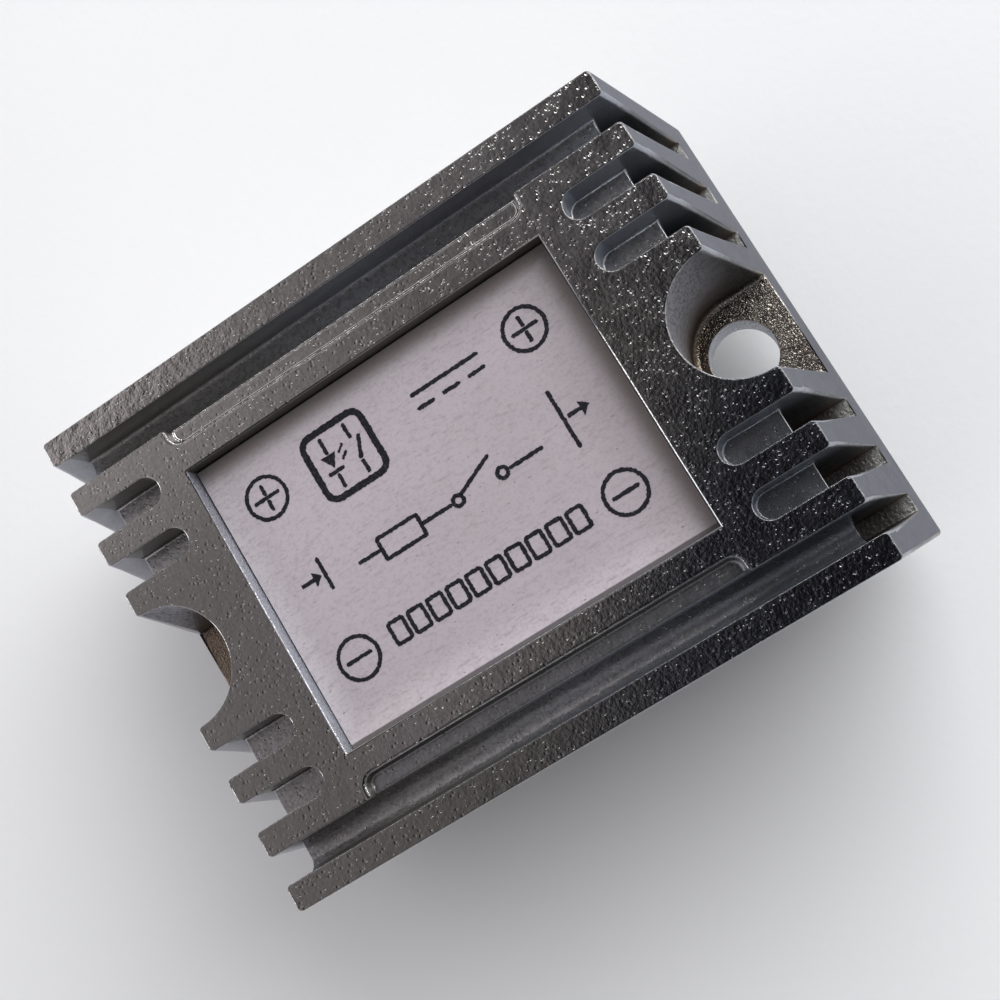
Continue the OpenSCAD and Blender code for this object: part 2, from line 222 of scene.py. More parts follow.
# Painted highlight on the rims of the top that face away from -Y
RIM_HIGHLIGHT = (0.80, 0.79, 0.77)


def case_finish(name, colour, stain, roughness, pitting=0.0, skin=0.0, flecks=0.0, peel=0.02,
                mottle=0.2, bead_share=0.5, fineness=1.0, drawn=1.0, bands=(), metallic=1.0,
                worn=False, **sockets):
    """Nickel-plated die casting: pits, dents and flecks on the skin of the casting, and a stain.

    bands are (axis, tint, full, none): a tint that fades along an axis between two places, where
    axis u runs to the upper output corner and w to the lower output corner; many bands are painted
    light and shade. fineness and drawn scale the grain, over all and along Z. worn adds the folded
    skin of the outer fin at the input end, a rougher skin towards the output end, and a painted
    highlight on the rims that face away from -Y, broken in places by darker patches. The deep pits
    are darkened with painted shade.
    """
    s = Surface(name, colour, roughness, metallic=metallic, **sockets)
    axes = dict(zip("xyz", s.axes()))
    axes["w"] = s.total((axes["x"], 1.0), (axes["y"], -1.0))
    axes["u"] = s.total((axes["x"], 1.0), (axes["y"], 1.0))
    holes = s.pits(1.9, 0.085, 0.6 * pitting)
    dents = s.pits(2.4, 0.14, 0.8 * pitting)
    drawn_place = s.stretched(1, 1, drawn)
    grain = s.noise(3.6 * fineness, 2, 0.6, drawn_place)
    clusters = s.span(s.noise(0.45, 2), 0.36, 0.58)
    coarse = s.math("MULTIPLY", s.pits(3.9 * fineness, 0.1 / fineness, 0.4 * bead_share), clusters)
    fine = s.pits(6.4 * fineness, 0.062 / fineness, bead_share)
    beads = s.math("MAXIMUM", coarse, fine)
    relief = [(holes, -0.04), (dents, -0.012), (s.noise(0.9, 2), peel)]
    plated = s.mix(s.span(s.noise(0.07, 3), 0.36, 0.64), colour, stain)
    for axis, tint, full, none in bands:
        plated = s.mix(s.span(axes[axis], full, none, 1.0, 0.0), plated, tint)
    spots = s.span(s.noise(4.5 * fineness, 2, 0.6, drawn_place), 0.45, 0.65, 0.0, mottle)
    plated = s.mix(spots, plated, tuple(c * 0.35 for c in colour))
    if worn:
        plated = s.mix(beads, plated, colour)
        across = s.span(s.total((axes["x"], 1.0), (axes["y"], -0.9)), -4.0, 30.0)
        grain = s.math("MULTIPLY", grain, s.span(across, 0.0, 1.0, 0.16, 1.0))
        beads = s.math("MULTIPLY", beads, s.span(s.noise(0.8, 2), 0.35, 0.7, 0.3, 1.1))
        fin = s.span(axes["y"], 15.9, 16.1)
        input_side = s.span(axes["x"], -18.0, 4.0, 1.0, 0.0)
        folds = s.math("MULTIPLY", s.noise(1.4, 3, 0.6), s.math("MULTIPLY", fin, input_side))
        _, facing_y, facing_z = s.axes(s.facing)
        sloped = s.span(facing_z, 0.75, 0.98, 1.0, 0.0)
        rims = s.math("MULTIPLY", sloped, s.span(facing_y, -0.4, 0.0))
        nicks = s.math("MULTIPLY", s.noise(3.2, 3, 0.65), rims)
        relief += [(folds, 0.13), (nicks, 0.16)]
        # Painted highlight on the rims that face away from -Y, broken below by darker patches
        plated = s.mix(s.math("MULTIPLY", rims, 0.85), plated, RIM_HIGHLIGHT)
        gaps = s.math("MULTIPLY", s.span(s.noise(2.3, 2, 0.6), 0.52, 0.6, 0.0, 0.7), rims)
        plated = s.mix(gaps, plated, tuple(c * 0.3 for c in colour))
    # Painted shade: the deep pits are darkened
    s.colour(s.mix(s.math("MULTIPLY", holes, 0.85), plated, tuple(c * 0.12 for c in colour)))
    s.rough(s.span(s.noise(0.8, 4), 0.3, 0.7, roughness - 0.04, roughness + 0.05))
    relief.append((grain, skin))
    if flecks:
        relief.append((beads, flecks))
    s.relief(s.total(*relief))
    return s.material


# Bands of colour: axis, colour, where it is full and where it is gone, in millimetres. Those marked
# painted stand for light and shade
OLIVE_BAND = ("x", (0.27, 0.26, 0.24), -14.0, 4.0)
# Painted shade: the walls darken further down the grooves and gaps
GAP_PAINTED_SHADE = ("z", (0.07, 0.075, 0.085), 14.0, 19.3)
# Painted reflection of the flange: brown low on the walls
FLANGE_PAINTED_REFLECTION = ("z", (0.20, 0.165, 0.13), 4.0, 8.5)
# Painted light: the walls are lighter and bluer at the input end, past x = -20.75
PAINTED_LIGHT_PATCH = ("x", (0.50, 0.50, 0.55), -20.75, -20.6)
NOTCH_BAND = ("z", (0.16, 0.12, 0.09), 5.0, 17.0)
# Painted shade on the notch wall, darker towards the end of the case
NOTCH_SHADE = ("x", (0.05, 0.047, 0.04), 23.6, 19.6)
FLANGE_BAND = ("x", (0.24, 0.19, 0.145), 18.6, 22.0)
# Painted shade in the fillet between the notch wall and the flange, dulling its highlight
FILLET_PAINTED_SHADE = ("z", (0.12, 0.095, 0.07), 4.3, 4.02)
# Painted highlight on the gap floors at the output end
END_GLINT = ("x", (0.33, 0.325, 0.31), 25.4, 23.2)
# Painted reflections of the room on the top: darker towards the input end, lighter towards +Y,
# darker on the lower outer fin, lighter towards the upper output corner and dark blue-grey towards
# the lower output corner
INPUT_END_PAINTED_REFLECTION = ("x", (0.29, 0.28, 0.27), -17.0, -6.0)
UPPER_SIDE_PAINTED_REFLECTION = ("y", (0.45, 0.435, 0.42), 15.0, 3.0)
LOWER_FIN_PAINTED_REFLECTION = ("y", (0.28, 0.275, 0.26), -15.5, -13.0)
OUTPUT_UPPER_PAINTED_REFLECTION = ("u", (0.57, 0.555, 0.54), 31.0, 17.0)
LOWER_CORNER_PAINTED_REFLECTION = ("w", (0.17, 0.177, 0.197), 26.0, 12.0)
# Painted shade on the floors: dark blue-grey towards the lower output corner, a little darker
# towards -Y, and darker on the lower ledge
FLOOR_CORNER_PAINTED_SHADE = ("w", (0.18, 0.185, 0.20), 31.0, 14.0)
LOWER_FLOOR_PAINTED_SHADE = ("y", (0.40, 0.39, 0.395), -13.0, 12.0)
LEDGE_PAINTED_SHADE = ("z", (0.27, 0.265, 0.27), 20.9, 20.5)
CASE_FINISHES = [
    case_finish("case_top", (0.425, 0.415, 0.39), (0.435, 0.395, 0.41), 0.13, 1.1, 0.038, 0.011,
                bead_share=0.13, worn=True, bands=(
                    INPUT_END_PAINTED_REFLECTION, UPPER_SIDE_PAINTED_REFLECTION, LOWER_FIN_PAINTED_REFLECTION, OUTPUT_UPPER_PAINTED_REFLECTION, LOWER_CORNER_PAINTED_REFLECTION)),
    # The blue tint of the walls is a painted reflection of the sky
    case_finish("case_walls", (0.34, 0.36, 0.40), (0.28, 0.29, 0.32), 0.32, 0.3, 0.015,
                bands=(OLIVE_BAND, GAP_PAINTED_SHADE, FLANGE_PAINTED_REFLECTION, PAINTED_LIGHT_PATCH), metallic=0.85),
    case_finish("case_ends", (0.355, 0.36, 0.39), (0.33, 0.33, 0.355), 0.38, 0.1, 0.006,
                peel=0.01, edge_tint=(0.345, 0.35, 0.38)),
    case_finish("case_notch", (0.37, 0.37, 0.40), (0.31, 0.305, 0.32), 0.38, 0.3, 0.05, 0.02,
                mottle=1.0, fineness=1.2, drawn=0.25, bands=[NOTCH_BAND, NOTCH_SHADE],
                edge_tint=(0.78, 0.77, 0.79)),
    case_finish("case_flange", (0.56, 0.51, 0.455), (0.47, 0.42, 0.365), 0.2, 1.0, 0.035, 0.035,
                bead_share=0.9, fineness=1.3, bands=[FLANGE_BAND, FILLET_PAINTED_SHADE]),
    case_finish("case_sides", (0.43, 0.43, 0.44), (0.41, 0.40, 0.40), 0.22, 0.25, 0.006,
                mottle=0.06),
    case_finish("case_floors", (0.48, 0.475, 0.48), (0.45, 0.435, 0.44), 0.27, 1.0, 0.015, 0.005,
                mottle=0.5, bands=(LOWER_FLOOR_PAINTED_SHADE, LEDGE_PAINTED_SHADE, FLOOR_CORNER_PAINTED_SHADE), metallic=0.8),
    # Painted shade: a dark finish for the flange between the fins, the small walls of the ledges
    # and the recess wall that faces -Y
    case_finish("case_gaps_painted_shade", (0.17, 0.16, 0.15), (0.11, 0.10, 0.095), 0.48, 0.6, 0.05,
                bands=[END_GLINT]),
    # Painted light: a light blue finish for the recess walls that face +X and for the bore
    case_finish("case_recess_painted_light", (0.62, 0.64, 0.69), (0.52, 0.54, 0.60), 0.30, 1.0, 0.08, 0.05,
                metallic=0.7),
]
TOP, WALLS, ENDS, NOTCH, FLANGE, SIDES, FLOORS, GAPS, RECESS = range(9)


def plastic(name, colour, roughness, mottle=0.12, relief=0.006, scale=3.0):
    """Moulded, cast or laminated material with a faint mottle and texture."""
    s = Surface(name, colour, roughness)
    darker = tuple(c * (1 - 2 * mottle) for c in colour)
    s.colour(s.mix(s.span(s.noise(0.35 * scale, 4), 0.3, 0.7), colour, darker))
    s.rough(s.span(s.noise(scale, 3), 0.25, 0.75, roughness - 0.06, roughness + 0.08))
    s.relief(s.total((s.noise(scale * 2, 3), relief), (s.noise(scale * 0.4, 2), relief * 2)))
    return s.material


def plain_metal(name, colour, roughness, lines=0.0015):
    """Drawn or plated metal with fine lines along Z and patches of dulled plating."""
    s = Surface(name, colour, roughness, metallic=1.0)
    dulled = tuple(c * 0.8 for c in colour)
    s.colour(s.mix(s.span(s.noise(0.7, 4), 0.35, 0.7), colour, dulled))
    s.rough(s.span(s.noise(1.6, 3), 0.3, 0.7, roughness - 0.07, roughness + 0.1))
    drawn = s.noise(9, 2, place=s.stretched(1, 1, 0.08))
    s.relief(s.total((drawn, lines), (s.noise(3, 3), lines)))
    return s.material


def label_finish():
    """Satin off-white plate with faint dashes along X and specks; painted light and shade make it
    paler towards the upper input corner, at the input end and along the lower edge, brown along the
    right and upper borders, and dark in a line along the lower edge."""
    s = Surface("label", (0.47, 0.425, 0.45), 0.42, gloss=0.35)
    x, y, _ = s.axes()
    base = s.mix(s.span(s.noise(0.12, 3), 0.3, 0.75), (0.452, 0.404, 0.426), (0.42, 0.372, 0.394))
    # Painted light: paler towards the upper input corner
    paler = s.span(s.total((x, 1.0), (y, -1.0)), -17.0, 2.0, 0.55, 0.0)
    base = s.mix(paler, base, (0.50, 0.45, 0.475))
    # Painted light: lighter margins along the input end and the lower edge
    left = s.span(x, -13.3, -11.8, 1.0, 0.0)
    lit_margins = s.math("MAXIMUM", left, s.span(y, -10.2, -8.0, 1.0, 0.0))
    base = s.mix(s.math("MULTIPLY", lit_margins, 0.9), base, (0.55, 0.495, 0.52))
    grain = s.noise(3.2, 3, 0.6, s.stretched(0.4, 1.5, 1))
    base = s.mix(s.span(grain, 0.50, 0.78, 0.0, 0.6), base, (0.29, 0.25, 0.265))
    base = s.mix(s.span(s.noise(5.0, 2, 0.6), 0.45, 0.70, 0.0, 0.35), base, (0.30, 0.26, 0.275))
    # Painted shade: brown along the right and upper borders, by the recess walls
    right = s.total((s.span(x, 8.0, 13.0), 0.22), (s.span(x, 12.0, 13.9), 0.55))
    upper = s.math("MULTIPLY", s.span(y, 8.9, 10.3), 0.75)
    base = s.mix(s.math("MAXIMUM", right, upper), base, (0.15, 0.125, 0.11))
    edge = plate_low.y / MM
    # Painted shadow: a dark line along the lower edge
    base = s.mix(s.span(y, edge + 0.24, edge + 0.34, 0.85, 0.0), base, (0.06, 0.052, 0.05))
    dashes = s.pits(1.6, 0.085, 0.55, s.stretched(0.6, 1.9, 1))
    worn = s.span(y, -10.0, 8.0, 0.85, 0.25)
    specks = s.pits(1.2, 0.06, 0.4)
    marked = s.math("MAXIMUM", s.math("MULTIPLY", dashes, worn), s.math("MULTIPLY", specks, 0.6))
    s.colour(s.mix(marked, base, (0.13, 0.11, 0.11)))
    s.rough(s.span(s.noise(1.1, 3), 0.3, 0.7, 0.36, 0.5))
    s.relief(s.total((s.noise(5, 3), 0.006), (s.noise(0.8, 2), 0.02), (dashes, -0.01)))
    return s.material


def board_finish():
    """Green solder mask over the weave of the laminate."""
    s = Surface("board", (0.03, 0.19, 0.07), 0.3, coat=0.4)
    weave_x = s.noise(2.2, 1, place=s.stretched(1, 0.1, 1))
    weave_y = s.noise(2.2, 1, place=s.stretched(0.1, 1, 1))
    weave = s.math("ADD", weave_x, weave_y)
    s.colour(s.mix(s.span(weave, 0.8, 1.2), (0.025, 0.16, 0.06), (0.04, 0.24, 0.09)))
    s.rough(s.span(s.noise(1.5, 2), 0.3, 0.7, 0.26, 0.38))
    s.relief(s.total((weave, 0.012)))
    return s.material


def ink_finish():
    s = Surface("ink", (0.012, 0.012, 0.016), 0.55, gloss=0.15)
    s.colour(s.mix(s.span(s.noise(6, 3), 0.45, 0.75), (0.010, 0.010, 0.014), (0.035, 0.033, 0.037)))
    s.rough(s.span(s.noise(4, 2), 0.3, 0.7, 0.42, 0.6))
    s.relief(s.total((s.noise(10, 2), 0.004)))
    return s.material


FINISHES = {
    "label": label_finish(),
    "ink": ink_finish(),
    "board": board_finish(),
    "adhesive": plastic("adhesive", (0.78, 0.76, 0.68), 0.35),
    "cover_plastic": plastic("cover_plastic", (0.030, 0.030, 0.028), 0.42, relief=0.010, scale=2.2),
    "bushing_plastic": plastic("bushing_plastic", (0.72, 0.68, 0.56), 0.35, mottle=0.05),
    "resin": plastic("resin", (0.020, 0.020, 0.022), 0.14, relief=0.012, scale=0.8),
    "moulding": plastic("moulding", (0.022, 0.022, 0.024), 0.5, relief=0.012, scale=6.0),
    "white_moulding": plastic("white_moulding", (0.75, 0.75, 0.71), 0.5, mottle=0.04, scale=6.0),
    "wafer_ceramic": plastic("wafer_ceramic", (0.80, 0.79, 0.74), 0.55, mottle=0.04, scale=5.0),
    "lacquer": plastic("lacquer", (0.10, 0.24, 0.45), 0.22, scale=2.0),
    "diode_glass": plastic("diode_glass", (0.42, 0.10, 0.04), 0.08, relief=0.002),
    "sleeve": plastic("sleeve", (0.02, 0.035, 0.12), 0.3, relief=0.004),
    "capacitor_resin": plastic("capacitor_resin", (0.48, 0.22, 0.03), 0.2, relief=0.02, scale=1.5),
    "pin_metal": plain_metal("pin_metal", (0.74, 0.72, 0.66), 0.26),
    "solder": plain_metal("solder", (0.68, 0.69, 0.71), 0.2, lines=0.008),
    "tinned_copper": plain_metal("tinned_copper", (0.70, 0.69, 0.66), 0.3),
    "screw_steel": plain_metal("screw_steel", (0.60, 0.60, 0.60), 0.32),
}


# ---------------------------------------------------------------- the case

# Edges that turn less than FLAT are dissolved, and those that turn more than SHARP are rounded
FLAT = math.radians(0.5)
SHARP = math.radians(28)
# Where the case's mesh is cut across X and across Y
CUTS = (0.0 * MM, 0.14 * MM)


def is_cut(edge):
    """True for an edge in one of the two cutting planes."""
    return any(
        all(abs(v.co[axis] - place) < 1e-3 * MM for v in edge.verts)
        for axis, place in enumerate(CUTS)
    )


def welded_copy(node):
    """A CAD node's mesh with its seams joined and its flat faces whole, but for two cuts that leave
    no face with a hole in it."""
    mesh = bmesh.new()
    mesh.from_mesh(NODES[node].data)
    bmesh.ops.remove_doubles(mesh, verts=mesh.verts, dist=1e-6)
    bmesh.ops.dissolve_limit(mesh, angle_limit=FLAT, verts=mesh.verts, edges=mesh.edges)
    for across in ((1, 0, 0), (0, 1, 0)):
        everything = [*mesh.verts, *mesh.edges, *mesh.faces]
        bmesh.ops.bisect_plane(mesh, geom=everything, plane_co=(*CUTS, 0), plane_no=across)
    spare = [e for e in mesh.edges if e.calc_face_angle() < FLAT and not is_cut(e)]
    bmesh.ops.dissolve_edges(mesh, edges=spare)
    return mesh


def end_plane(z):
    """Distance from the centre to the sloped end faces at height z."""
    return BASE_HALF - END_LEAN * z / CASE_TOP


def is_hidden(point):
    """True inside the cavity, which the cover closes."""
    inside = abs(point.x) < CAVITY_HALF_X and abs(point.y) < CAVITY_HALF_Y
    return inside and point.z < CAVITY_TOP


def in_recess(point):
    """True on the walls round the plate."""
    inside = abs(point.x) < RECESS_HALF_X and abs(point.y) < RECESS_HALF_Y
    return inside and point.z > plate_low.z


def case_zone(face):
    """The finish of a face of the case, by where it lies and how it faces."""
    p = face.calc_center_median()
    n = face.normal
    notch = math.hypot(abs(p.x) - NOTCH_AXIS, p.y) < NOTCH_RADIUS * 1.03 and p.z > FLANGE_TOP
    # Painted shade: the flange between the fins takes the dark gap finish
    if abs(p.z - FLANGE_TOP) < 0.05 * MM and n.z > 0.9:
        return FLANGE if abs(p.y) < NOTCH_RADIUS else GAPS
    if abs(n.x) > 0.9 and abs(abs(p.x) - end_plane(p.z)) < 0.1 * MM:
        return ENDS
    if n.z > 0.9:
        is_top = p.z > CASE_TOP - 0.5 * MM or (p.y > 0 and p.z > LEDGE_TOP - 0.1 * MM)
        return TOP if is_top else FLOORS
    if notch:
        return NOTCH
    # Painted light: the bore and the recess walls that face +X take the light blue finish
    in_bore = math.hypot(abs(p.x) - HOLE_AXIS, p.y) < HOLE_RADIUS * 1.02 and p.z < FLANGE_TOP
    if in_bore or (in_recess(p) and n.x > 0.5):
        return RECESS
    on_ledge = LEDGE_INNER < abs(p.y) < LEDGE_OUTER and p.z > LEDGE_TOP
    # Painted shade: the small walls of the ledges and the recess wall that faces -Y take the dark
    # finish
    if abs(n.y) > 0.5 and (on_ledge or (in_recess(p) and n.y < 0)):
        return GAPS
    if abs(p.y) > CASE_HALF_WIDTH - 0.1 * MM or p.z < 2 * MM:
        return SIDES
    return WALLS


# Radius in millimetres of the corners that stand upright
TIP_CORNER = 0.34
# Radius in millimetres where two finishes meet over a convex edge
ROUNDED = {
    (ENDS, FLANGE): 0.12, (ENDS, FLOORS): 0.08, (WALLS, FLOORS): 0.06,
}
# Radius in millimetres of every other convex edge, and of some particular ones
ANY_ROUNDED = 0.11
RECESS_RIM = 0.16
LEDGE_ROUND = 0.32
BORE_EDGE = 0.08
# Radius in millimetres of the concave edges. The draft fillet is the widest of all
CAST_FILLET = 0.2
GROOVE_FILLET = 0.3
DRAFT_FILLET = 0.8
NOTCH_FILLET = 0.6
# Shortest groove edge, so that only those along the full length count
GROOVE_LEAST = 8 * MM


def is_tip_corner(edge):
    """True for an upright edge where a fin or the case ends in a sloped end face."""
    a, b = (v.co for v in edge.verts)
    on_end = all(abs(abs(p.x) - end_plane(p.z)) < 0.02 * MM for p in (a, b))
    return on_end and edge.is_convex and abs(a.z - b.z) > abs(a.y - b.y)


def edge_radius(edge):
    """How much of an edge of the case is rounded, in millimetres."""
    a, b = (v.co for v in edge.verts)
    mid = (a + b) / 2
    zones = tuple(sorted(f.material_index for f in edge.link_faces))
    if is_hidden(mid):
        return 0
    if in_recess(mid):
        return RECESS_RIM if mid.z > CASE_TOP - 0.1 * MM else 0
    from_bore = math.hypot(abs(mid.x) - HOLE_AXIS, mid.y)
    if from_bore < HOLE_RADIUS * 1.02 and mid.z < FLANGE_TOP * 1.02:
        return BORE_EDGE
    along_groove = FLOORS in zones and abs(a.x - b.x) > GROOVE_LEAST and mid.z < LEDGE_TOP - MM
    if along_groove and not edge.is_convex:
        return DRAFT_FILLET if (abs(mid.y) > DRAFT_SIDE) == (mid.y < 0) else GROOVE_FILLET
    by_ledge = LEDGE_INNER < abs(mid.y) < LEDGE_LIP and abs(mid.x) < LEDGE_HALF
    if by_ledge and mid.z > CASE_TOP - 1.2 * MM:
        return LEDGE_ROUND
    if not edge.is_convex:
        return NOTCH_FILLET if NOTCH in zones and FLANGE in zones else CAST_FILLET
    return ROUNDED.get(zones, ANY_ROUNDED)


def build_case():
    mesh = welded_copy("housing")
    tips = [edge for edge in mesh.edges if is_tip_corner(edge)]
    bmesh.ops.bevel(
        mesh, geom=tips, offset=TIP_CORNER * MM, segments=5, profile=0.5, affect="EDGES"
    )
    weights = mesh.edges.layers.float.new("bevel_weight_edge")
    for face in mesh.faces:
        face.material_index = case_zone(face)
        face.smooth = True
    for edge in mesh.edges:
        if edge.calc_face_angle() > SHARP:
            edge[weights] = edge_radius(edge) / DRAFT_FILLET
    data = bpy.data.meshes.new("case_casting")
    mesh.to_mesh(data)
    mesh.free()
    for material in CASE_FINISHES:
        data.materials.append(material)
    piece = bpy.data.objects.new("case_casting", data)
    bpy.context.scene.collection.objects.link(piece)
    bevel = piece.modifiers.new("rounded_edges", "BEVEL")
    bevel.limit_method = "WEIGHT"
    bevel.width = DRAFT_FILLET * MM
    bevel.segments = 4
    bevel.use_clamp_overlap = False
    shading = piece.modifiers.new("flat_faces_stay_flat", "WEIGHTED_NORMAL")
    shading.mode = "FACE_AREA"
    shading.weight = 100
    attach(piece, "root")
    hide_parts("housing")


build_case()


# ---------------------------------------------------------------- the other CAD nodes

SOFT_EDGE = 0.06


def dress(node, slot):
    """Gives a CAD node its finish and softens its edges."""
    piece = NODES[node]
    piece.data.materials.clear()
    piece.data.materials.append(FINISHES[slot])
    soften = piece.modifiers.new("soft_edges", "BEVEL")
    soften.width = SOFT_EDGE * MM
    soften.segments = 2
    soften.angle_limit = math.radians(40)
    soften.harden_normals = True


for entry in frame["record"]["subparts"]:
    if entry["node"] != "housing":
        dress(entry["node"], entry["material_slot"])


# ---------------------------------------------------------------- the print on the plate

# Width of the printed lines, and how far and how often their edges stray, in millimetres
STROKE = 0.27
RAGGED_STEP = 0.12
RAGGED_REACH = 0.034
INK_TOP = plate_high.z + 0.02 * MM
ragged = random.Random(7)


def sides(loop):
    """The pairs of neighbouring points round a loop."""
    return list(zip(loop, loop[1:] + loop[:1]))


def resampled(loop, parts):
    """The loop with each side split into its number of parts."""
    return [
        (x0 + (x1 - x0) * i / count, y0 + (y1 - y0) * i / count)
        for ((x0, y0), (x1, y1)), count in zip(sides(loop), parts)
        for i in range(count)
    ]


def ink_ring(mesh, loop, parts):
    """Corner points of a printed outline, with the slightly ragged edge of the print."""
    return [
        mesh.verts.new((
            (x + ragged.uniform(-RAGGED_REACH, RAGGED_REACH)) * MM,
            (y + ragged.uniform(-RAGGED_REACH, RAGGED_REACH)) * MM, INK_TOP))
        for x, y in resampled(loop, parts)
    ]


def ink_piece(name, outlines):
    """Printed marks as one piece. Each outline is an outer loop of points in millimetres, and an
    inner loop of as many points or None."""
    mesh = bmesh.new()
    for outer, inner in outlines:
        parts = [max(1, round(math.dist(p, q) / RAGGED_STEP)) for p, q in sides(outer)]
        rim = ink_ring(mesh, outer, parts)
        if inner is None:
            mesh.faces.new(rim)
            continue
        hole = ink_ring(mesh, inner, parts)
        for (a, b), (d, c) in zip(sides(rim), sides(hole)):
            mesh.faces.new((a, b, c, d))
    made = bmesh.ops.extrude_face_region(mesh, geom=list(mesh.faces))
    lower = [g for g in made["geom"] if isinstance(g, bmesh.types.BMVert)]
    bmesh.ops.translate(mesh, verts=lower, vec=(0, 0, plate_high.z - INK_TOP))
    bmesh.ops.recalc_face_normals(mesh, faces=mesh.faces)
    data = bpy.data.meshes.new(name)
    mesh.to_mesh(data)
    mesh.free()
    data.materials.append(FINISHES["ink"])
    piece = bpy.data.objects.new(name, data)
    bpy.context.scene.collection.objects.link(piece)
    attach(piece, "root")


def arc(x, y, radius, start=0.0, turn=360.0, steps=48):
    count = steps if abs(turn) >= 360 else steps + 1
    angles = [math.radians(start + turn * i / steps) for i in range(count)]
    return [(x + radius * math.cos(a), y + radius * math.sin(a)) for a in angles]


def ring(x, y, radius):
    return arc(x, y, radius + STROKE / 2), arc(x, y, radius - STROKE / 2)


def bar(x0, y0, x1, y1, stroke=STROKE):
    """A straight stroke with round ends."""
    heading = math.degrees(math.atan2(y1 - y0, x1 - x0))
    far = arc(x1, y1, stroke / 2, heading - 90, 180, 6)
    near = arc(x0, y0, stroke / 2, heading + 90, 180, 6)
    return far + near, None


def box_line(x, y, width, height, corner, stroke=STROKE):
    """A rounded rectangle drawn as a line."""
    def loop(grow):
        hx, hy = width / 2 - corner, height / 2 - corner
        quarters = enumerate(((1, 1), (-1, 1), (-1, -1), (1, -1)))
        return [
            p for quarter, (sx, sy) in quarters
            for p in arc(x + sx * hx, y + sy * hy, corner + grow, 90 * quarter, 90, 5)
        ]
    return loop(stroke / 2), loop(-stroke / 2)


def arrow(x0, x1, y):
    """An arrow along X with a solid head."""
    side, neck, barb = STROKE / 2, x1 - ARROW_HEAD, ARROW_HALF
    return [(x0, y - side), (neck, y - side), (neck, y - barb), (x1, y),
            (neck, y + barb), (neck, y + side), (x0, y + side)], None


ARROW_HEAD, ARROW_HALF = 0.62, 0.52
INPUT_X, OUTPUT_X = -10.4, 10.0
POSITIVE_Y, NEGATIVE_Y = 6.6, -5.76
CIRCLE = 1.44


def polarity(name, x, y, positive):
    """A plus or minus sign in a circle."""
    arm = CIRCLE * 0.6
    strokes = [ring(x, y, CIRCLE), bar(x - arm, y, x + arm, y)]
    if positive:
        clear = STROKE * 0.5
        strokes += [bar(x, y + 2 * clear, x, y + arm), bar(x, y - arm, x, y - 2 * clear)]
    ink_piece(name, strokes)


def input_mark():
    """An arrow that runs into a bar."""
    x, y = INPUT_X, 0.2
    stop = x + 0.85
    ink_piece("mark_input", [arrow(x - 1.0, x + 0.6, y), bar(stop, y - 1.1, stop, y + 1.1)])


def output_mark():
    """An arrow that leaves a tall bar."""
    x, y = OUTPUT_X, 0.3
    start = x - 0.9
    ink_piece("mark_output", [bar(start, y - 2.0, start, y + 2.0), arrow(x - 0.6, x + 1.0, y)])


def isolator_mark():
    """A lamp and a contact side by side in a bold frame: the isolator's symbol."""
    x, y, half = -4.4, 6.15, 2.3
    lamp, contact = x - 0.95, x + 0.95
    ink_piece("mark_isolator", [
        box_line(x, y, 2 * half, 2 * half, 0.75, 0.46),
        bar(lamp, y + 0.75, lamp, y + half - 0.55),
        ([(lamp - 0.55, y + 0.6), (lamp, y - 0.4), (lamp + 0.55, y + 0.6)], None),
        bar(lamp - 0.5, y - 0.62, lamp + 0.5, y - 0.62),
        bar(lamp, y - half + 0.55, lamp, y - 0.92),
        bar(x - 0.15, y + 0.42, x + 0.25, y + 0.72, 0.2),
        bar(x - 0.15, y - 0.12, x + 0.25, y + 0.18, 0.2),
        bar(contact, y + 0.85, contact, y + half - 0.55),
        bar(contact, y - 0.7, contact + 0.55, y + 0.6),
        bar(contact, y - half + 0.55, contact, y - 1.0),
    ])


def supply_mark():
    """A line over three dashes: direct current."""
    left, right, y = 1.5, 6.5, 6.5
    dash, step = 1.1, 1.95
    dashes = [bar(left + i * step, y - 0.5, left + i * step + dash, y - 0.5) for i in range(3)]
    ink_piece("mark_direct_current", [bar(left, y + 0.5, right, y + 0.5)] + dashes)


def circuit_mark():
    """A load and an open contact in line: what the relay does."""
    y, terminal = -0.5, 0.36
    first, second = 0.6, 4.0
    ink_piece("mark_circuit", [
        bar(-7.1, y, -5.6, y),
        box_line(-3.85, y, 3.1, 1.5, 0.12),
        bar(-2.1, y, first - terminal - 0.25, y),
        ring(first, y, terminal),
        bar(first + 0.42, y + 0.3, second - 0.35, y + 1.45),
        ring(second, y, terminal),
        bar(second + terminal + 0.25, y, 6.9, y),
    ])


def date_mark():
    """A row of empty date boxes."""
    count, pitch, width, height, corner = 10, 1.52, 1.1, 1.5, 0.15
    first_x, y = -0.25 - (count - 1) / 2 * pitch, -5.65
    ink_piece("mark_date_boxes", [
        box_line(first_x + i * pitch, y, width, height, corner) for i in range(count)
    ])


polarity("mark_input_positive", INPUT_X, POSITIVE_Y, True)
polarity("mark_input_negative", INPUT_X, NEGATIVE_Y, False)
polarity("mark_output_positive", OUTPUT_X, POSITIVE_Y, True)
polarity("mark_output_negative", OUTPUT_X, NEGATIVE_Y, False)
input_mark()
output_mark()
isolator_mark()
supply_mark()
circuit_mark()
date_mark()


# ---------------------------------------------------------------- stage, light and camera

def floor_finish():
    s = Surface("floor", (0.88, 0.88, 0.88), 0.8)
    s.colour(s.mix(s.span(s.noise(0.02, 3), 0.3, 0.7), (0.89, 0.89, 0.89), (0.87, 0.87, 0.872)))
    s.relief(s.total((s.noise(1.2, 3), 0.02)))
    return s.material


FLOOR_HALF = 1.2


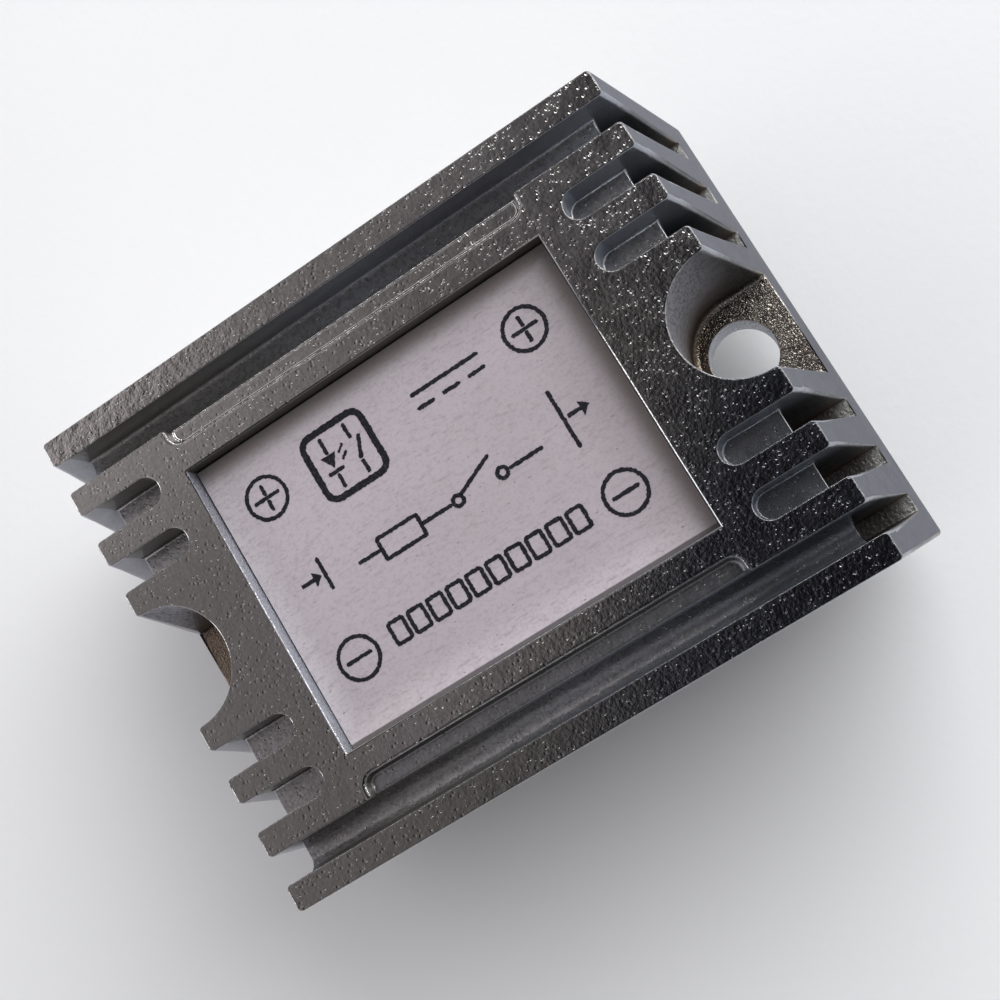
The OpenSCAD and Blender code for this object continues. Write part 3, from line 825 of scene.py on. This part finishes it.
def build_floor():
    mesh = bmesh.new()
    bmesh.ops.create_grid(mesh, x_segments=1, y_segments=1, size=FLOOR_HALF)
    data = bpy.data.meshes.new("floor")
    mesh.to_mesh(data)
    mesh.free()
    data.materials.append(floor_finish())
    floor = bpy.data.objects.new("floor", data)
    floor.location.z = cad_low.z
    bpy.context.scene.collection.objects.link(floor)


WINDOW_PLACE = Vector((0.52, 0.36, 0.50))
WINDOW_SIZE = (0.85, 0.8)
WINDOW_WATTS = 7.8
WINDOW_COLOUR = (0.96, 0.98, 1.0)


def build_window():
    """One wide soft light from above the positive side of the output end."""
    data = bpy.data.lights.new("window", "AREA")
    data.shape = "RECTANGLE"
    data.size, data.size_y = WINDOW_SIZE
    data.energy = WINDOW_WATTS
    data.color = WINDOW_COLOUR
    lamp = bpy.data.objects.new("window", data)
    lamp.location = WINDOW_PLACE
    lamp.rotation_euler = (-WINDOW_PLACE).to_track_quat("-Z", "Y").to_euler()
    bpy.context.scene.collection.objects.link(lamp)


OVERHEAD_DARK = (0.022, 0.023, 0.027)
OVERHEAD_WARM = (0.60, 0.56, 0.58)
WALL_DIM = (0.30, 0.31, 0.33)
WALL_BRIGHT = (1.5, 1.49, 1.5)
HORIZON = (0.72, 0.73, 0.76)


def build_world():
    """A studio dome: dark overhead, warm grey behind the input end, walls brightest towards +Y."""
    world = bpy.data.worlds.new("studio")
    world.use_nodes = True
    tree = world.node_tree
    place = tree.nodes.new("ShaderNodeTexCoord")
    g = Graph(tree, place.outputs["Generated"])
    x, y, z = g.axes()
    side = g.total((x, -0.9), (y, 0.35))
    dome = g.mix(g.span(side, -0.05, 0.62), OVERHEAD_DARK, OVERHEAD_WARM)
    sunny = g.span(g.total((x, -0.35), (y, 0.9)), -0.9, 0.5)
    walls = g.mix(sunny, WALL_DIM, WALL_BRIGHT)
    walls = g.mix(g.span(z, 0.0, 0.35, 1.0, 0.0), walls, HORIZON)
    background = tree.nodes["Background"]
    g.set(background.inputs["Color"], g.mix(g.span(z, 0.28, 0.88, 1.0, 0.0), dome, walls))
    bpy.context.scene.world = world


LENS, SENSOR = 58.04, 36
SHIFT = (0.1032, 0.0338)
CLIP = (0.005, 5)
CAMERA_PLACE = (18.04 * MM, -17.43 * MM, CASE_TOP + 99.67 * MM)
CAMERA_TURN = (1.804, 15.378, -31.273)


def build_camera():
    """Looks down on the plate from above the output end, turned so the length runs up to the
    right."""
    data = bpy.data.cameras.new("camera")
    data.sensor_width = SENSOR
    data.lens = LENS
    data.shift_x, data.shift_y = SHIFT
    data.clip_start, data.clip_end = CLIP
    camera = bpy.data.objects.new("camera", data)
    camera.location = CAMERA_PLACE
    camera.rotation_euler = [math.radians(a) for a in CAMERA_TURN]
    bpy.context.scene.collection.objects.link(camera)
    bpy.context.scene.camera = camera


build_floor()
build_world()
build_window()
build_camera()
bpy.context.scene.view_settings.view_transform = "Standard"
